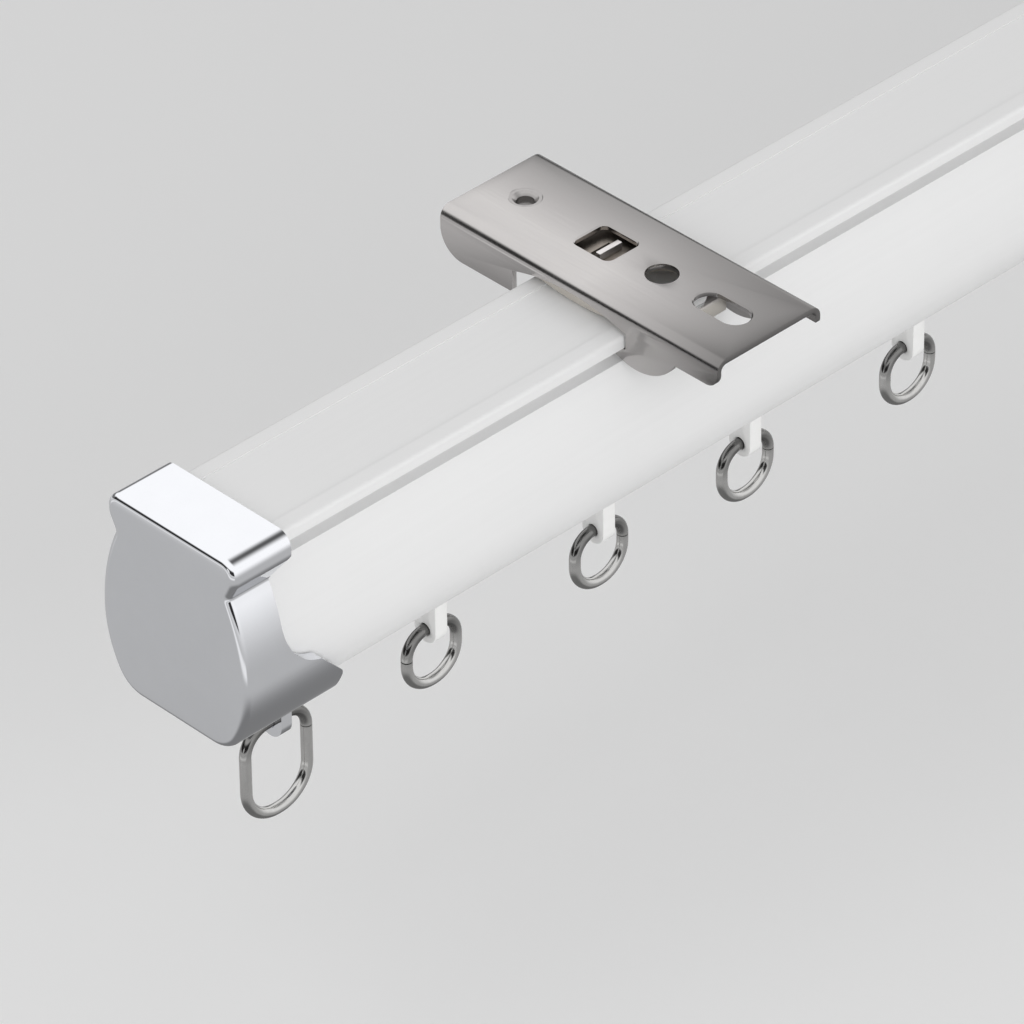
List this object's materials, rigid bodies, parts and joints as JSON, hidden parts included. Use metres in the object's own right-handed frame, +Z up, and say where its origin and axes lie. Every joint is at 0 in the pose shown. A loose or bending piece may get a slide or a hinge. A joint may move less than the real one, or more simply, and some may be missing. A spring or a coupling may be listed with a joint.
{
  "type": "curtain track",
  "caption": "Straight ceiling curtain track: slotted white rail with clip-on brackets, plated end caps and wheeled runners that carry wire rings for hooks.",
  "frame": {"origin": "midway between the two bracket screw holes, on the ceiling plane", "axes": "+X along the rail away from the end with the runners, +Y from the screw line towards the rail, +Z up into the ceiling"},
  "size_m": [0.604, 0.0503, 0.0561],
  "materials": {
    "white_coat": "smooth satin white coat",
    "bright_plate": "polished plate",
    "bracket_steel": "fine brushed plate",
    "slide_steel": "warm plated sheet",
    "spring_steel": "blank spring strip",
    "ring_wire": "polished wire",
    "white_moulding": "satin moulded",
    "wheel_moulding": "satin moulded"
  },
  "bodies": {
    "track": {"rail": "white_coat", "near_end_cap": "bright_plate", "near_bracket_plate": "bracket_steel", "near_return_spring": "spring_steel", "near_spring_eyelet": "bracket_steel", "far_end_cap": "bright_plate", "far_bracket_plate": "bracket_steel", "far_return_spring": "spring_steel", "far_spring_eyelet": "bracket_steel"},
    "near_lock": {"near_lock_slide": "slide_steel"},
    "near_cap_eye_ring": {"near_cap_ring": "ring_wire"},
    "far_lock": {"far_lock_slide": "slide_steel"},
    "far_cap_eye_ring": {"far_cap_ring": "ring_wire"},
    "runner_1": {"runner_1_carriage": "white_moulding", "runner_1_axle": "ring_wire"},
    "runner_1_back_roller": {"runner_1_wheel_back": "wheel_moulding"},
    "runner_1_front_roller": {"runner_1_wheel_front": "wheel_moulding"},
    "runner_1_eye_ring": {"runner_1_ring": "ring_wire"},
    "runner_2": {"runner_2_carriage": "white_moulding", "runner_2_axle": "ring_wire"},
    "runner_2_back_roller": {"runner_2_wheel_back": "wheel_moulding"},
    "runner_2_front_roller": {"runner_2_wheel_front": "wheel_moulding"},
    "runner_2_eye_ring": {"runner_2_ring": "ring_wire"},
    "runner_3": {"runner_3_carriage": "white_moulding", "runner_3_axle": "ring_wire"},
    "runner_3_back_roller": {"runner_3_wheel_back": "wheel_moulding"},
    "runner_3_front_roller": {"runner_3_wheel_front": "wheel_moulding"},
    "runner_3_eye_ring": {"runner_3_ring": "ring_wire"},
    "runner_4": {"runner_4_carriage": "white_moulding", "runner_4_axle": "ring_wire"},
    "runner_4_back_roller": {"runner_4_wheel_back": "wheel_moulding"},
    "runner_4_front_roller": {"runner_4_wheel_front": "wheel_moulding"},
    "runner_4_eye_ring": {"runner_4_ring": "ring_wire"}
  },
  "joints": [
    {"name": "near_lock_press", "type": "slide", "parent": "track", "child": "near_lock", "axis": [0, 1, 0], "range_m": [0, 0.0022], "stiffness_N_per_m": 400, "springref_m": -0.003, "deforming": ["near_return_spring"]},
    {"name": "near_cap_ring_swing", "type": "hinge", "parent": "track", "child": "near_cap_eye_ring", "pos_m": [-0.2855, 0.0066, -0.0409], "axis": [1, 0, 0], "range_deg": [-120, 120]},
    {"name": "far_lock_press", "type": "slide", "parent": "track", "child": "far_lock", "axis": [0, 1, 0], "range_m": [0, 0.0022], "stiffness_N_per_m": 400, "springref_m": -0.003, "deforming": ["far_return_spring"]},
    {"name": "far_cap_ring_swing", "type": "hinge", "parent": "track", "child": "far_cap_eye_ring", "pos_m": [0.2855, 0.0066, -0.0409], "axis": [1, 0, 0], "range_deg": [-120, 120]},
    {"name": "runner_1_travel", "type": "slide", "parent": "track", "child": "runner_1", "axis": [1, 0, 0], "range_m": [-0.0158, 0.0197]},
    {"name": "runner_1_back_roll", "type": "hinge", "parent": "runner_1", "child": "runner_1_back_roller", "pos_m": [-0.258, 0.0066, -0.02465], "axis": [0, 1, 0], "continuous": true},
    {"name": "runner_1_front_roll", "type": "hinge", "parent": "runner_1", "child": "runner_1_front_roller", "pos_m": [-0.258, 0.0066, -0.02465], "axis": [0, 1, 0], "continuous": true},
    {"name": "runner_1_ring_swing", "type": "hinge", "parent": "runner_1", "child": "runner_1_eye_ring", "pos_m": [-0.258, 0.0066, -0.0409], "axis": [1, 0, 0], "range_deg": [-150, 150]},
    {"name": "runner_2_travel", "type": "slide", "parent": "track", "child": "runner_2", "axis": [1, 0, 0], "range_m": [-0.0197, 0.0167]},
    {"name": "runner_2_back_roll", "type": "hinge", "parent": "runner_2", "child": "runner_2_back_roller", "pos_m": [-0.2275, 0.0066, -0.02465], "axis": [0, 1, 0], "continuous": true},
    {"name": "runner_2_front_roll", "type": "hinge", "parent": "runner_2", "child": "runner_2_front_roller", "pos_m": [-0.2275, 0.0066, -0.02465], "axis": [0, 1, 0], "continuous": true},
    {"name": "runner_2_ring_swing", "type": "hinge", "parent": "runner_2", "child": "runner_2_eye_ring", "pos_m": [-0.2275, 0.0066, -0.0409], "axis": [1, 0, 0], "range_deg": [-150, 150]},
    {"name": "runner_3_travel", "type": "slide", "parent": "track", "child": "runner_3", "axis": [1, 0, 0], "range_m": [-0.0167, 0.0207]},
    {"name": "runner_3_back_roll", "type": "hinge", "parent": "runner_3", "child": "runner_3_back_roller", "pos_m": [-0.2, 0.0066, -0.02465], "axis": [0, 1, 0], "continuous": true},
    {"name": "runner_3_front_roll", "type": "hinge", "parent": "runner_3", "child": "runner_3_front_roller", "pos_m": [-0.2, 0.0066, -0.02465], "axis": [0, 1, 0], "continuous": true},
    {"name": "runner_3_ring_swing", "type": "hinge", "parent": "runner_3", "child": "runner_3_eye_ring", "pos_m": [-0.2, 0.0066, -0.0409], "axis": [1, 0, 0], "range_deg": [-150, 150]},
    {"name": "runner_4_travel", "type": "slide", "parent": "track", "child": "runner_4", "axis": [1, 0, 0], "range_m": [-0.0207, 0.4423]},
    {"name": "runner_4_back_roll", "type": "hinge", "parent": "runner_4", "child": "runner_4_back_roller", "pos_m": [-0.1685, 0.0066, -0.02465], "axis": [0, 1, 0], "continuous": true},
    {"name": "runner_4_front_roll", "type": "hinge", "parent": "runner_4", "child": "runner_4_front_roller", "pos_m": [-0.1685, 0.0066, -0.02465], "axis": [0, 1, 0], "continuous": true},
    {"name": "runner_4_ring_swing", "type": "hinge", "parent": "runner_4", "child": "runner_4_eye_ring", "pos_m": [-0.1685, 0.0066, -0.0409], "axis": [1, 0, 0], "range_deg": [-150, 150]}
  ],
  "couplings": [
    {"joint": "runner_1_back_roll", "follows": "runner_1_travel", "rad_per_m": 222.22},
    {"joint": "runner_1_front_roll", "follows": "runner_1_travel", "rad_per_m": 222.22},
    {"joint": "runner_2_back_roll", "follows": "runner_2_travel", "rad_per_m": 222.22},
    {"joint": "runner_2_front_roll", "follows": "runner_2_travel", "rad_per_m": 222.22},
    {"joint": "runner_3_back_roll", "follows": "runner_3_travel", "rad_per_m": 222.22},
    {"joint": "runner_3_front_roll", "follows": "runner_3_travel", "rad_per_m": 222.22},
    {"joint": "runner_4_back_roll", "follows": "runner_4_travel", "rad_per_m": 222.22},
    {"joint": "runner_4_front_roll", "follows": "runner_4_travel", "rad_per_m": 222.22}
  ]
}
